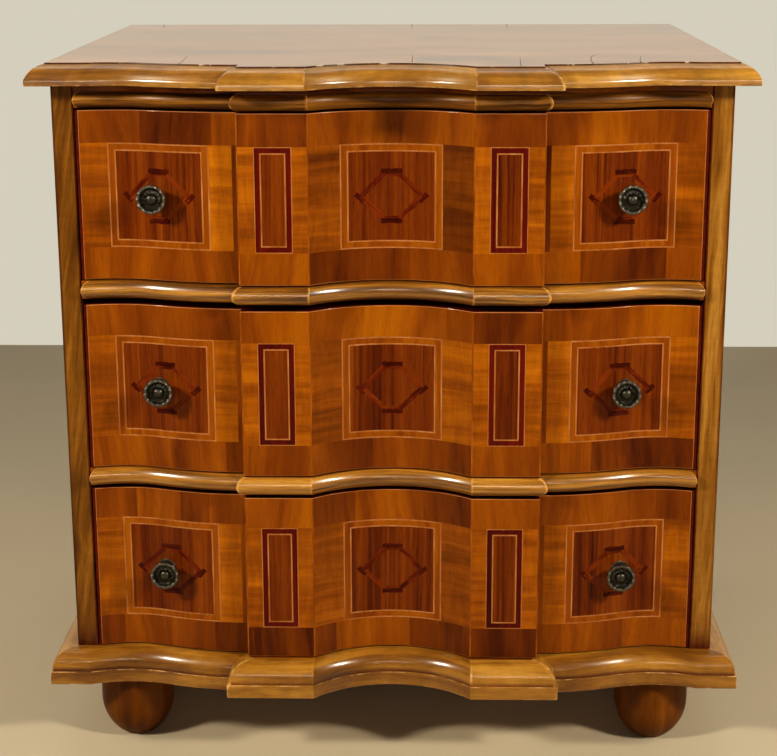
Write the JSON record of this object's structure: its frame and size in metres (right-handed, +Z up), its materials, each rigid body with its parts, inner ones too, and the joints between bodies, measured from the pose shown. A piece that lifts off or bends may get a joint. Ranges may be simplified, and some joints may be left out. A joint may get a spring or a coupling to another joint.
{
  "type": "chest of drawers",
  "caption": "Walnut chest of drawers with a shaped block front, inlaid squares, half-round beads, bronze knobs and bun feet; each drawer slides out.",
  "frame": {"origin": "on the floor, midway across the width and between the front of the top and its back edge", "axes": "+Z up, +Y towards the back, +X to the right as seen from the front"},
  "size_m": [0.808, 0.648, 0.812],
  "materials": {
    "walnut_veneer": "high-gloss varnish",
    "marquetry_veneer": "high-gloss varnish over inlaid walnut veneers",
    "walnut_moulding": "high-gloss varnish",
    "walnut_bead": "high-gloss varnish",
    "walnut_stile": "gloss varnish",
    "turned_walnut": "worn semi-gloss varnish",
    "pine": "bare planed wood",
    "aged_bronze": "dark aged bronze",
    "steel": "dull steel"
  },
  "bodies": {
    "carcass": {"top_board": "walnut_veneer", "top_moulding_sides": "walnut_moulding", "top_moulding_wings": "walnut_moulding", "top_moulding_blocks": "walnut_moulding", "top_moulding_centre": "walnut_moulding", "left_stile": "walnut_stile", "right_stile": "walnut_stile", "left_side_panel": "walnut_veneer", "right_side_panel": "walnut_veneer", "back_panel": "pine", "frieze_rail": "pine", "frieze_bead": "walnut_bead", "upper_rail": "pine", "upper_bead": "walnut_bead", "lower_rail": "pine", "lower_bead": "walnut_bead", "upper_runners": "pine", "lower_runners": "pine", "top_kickers": "pine", "drawer_guides": "pine", "drawer_stops": "pine", "bottom_board": "pine", "base_front_rail": "pine", "base_back_rail": "pine", "base_side_rails": "pine", "plinth_sides": "walnut_moulding", "plinth_wings": "walnut_moulding", "plinth_blocks": "walnut_moulding", "plinth_centre": "walnut_moulding", "feet": "turned_walnut"},
    "top_drawer_box": {"top_drawer_front": "marquetry_veneer", "top_drawer_left_side": "pine", "top_drawer_right_side": "pine", "top_drawer_back": "pine", "top_drawer_bottom": "pine", "top_drawer_knobs": "aged_bronze", "top_drawer_knob_posts": "aged_bronze", "top_drawer_knob_nuts": "steel"},
    "middle_drawer_box": {"middle_drawer_front": "marquetry_veneer", "middle_drawer_left_side": "pine", "middle_drawer_right_side": "pine", "middle_drawer_back": "pine", "middle_drawer_bottom": "pine", "middle_drawer_knobs": "aged_bronze", "middle_drawer_knob_posts": "aged_bronze", "middle_drawer_knob_nuts": "steel"},
    "bottom_drawer_box": {"bottom_drawer_front": "marquetry_veneer", "bottom_drawer_left_side": "pine", "bottom_drawer_right_side": "pine", "bottom_drawer_back": "pine", "bottom_drawer_bottom": "pine", "bottom_drawer_knobs": "aged_bronze", "bottom_drawer_knob_posts": "aged_bronze", "bottom_drawer_knob_nuts": "steel"}
  },
  "joints": [
    {"name": "top_drawer_slide", "type": "slide", "parent": "carcass", "child": "top_drawer_box", "axis": [0, -1, 0], "range_m": [0, 0.36]},
    {"name": "middle_drawer_slide", "type": "slide", "parent": "carcass", "child": "middle_drawer_box", "axis": [0, -1, 0], "range_m": [0, 0.36]},
    {"name": "bottom_drawer_slide", "type": "slide", "parent": "carcass", "child": "bottom_drawer_box", "axis": [0, -1, 0], "range_m": [0, 0.36]}
  ]
}
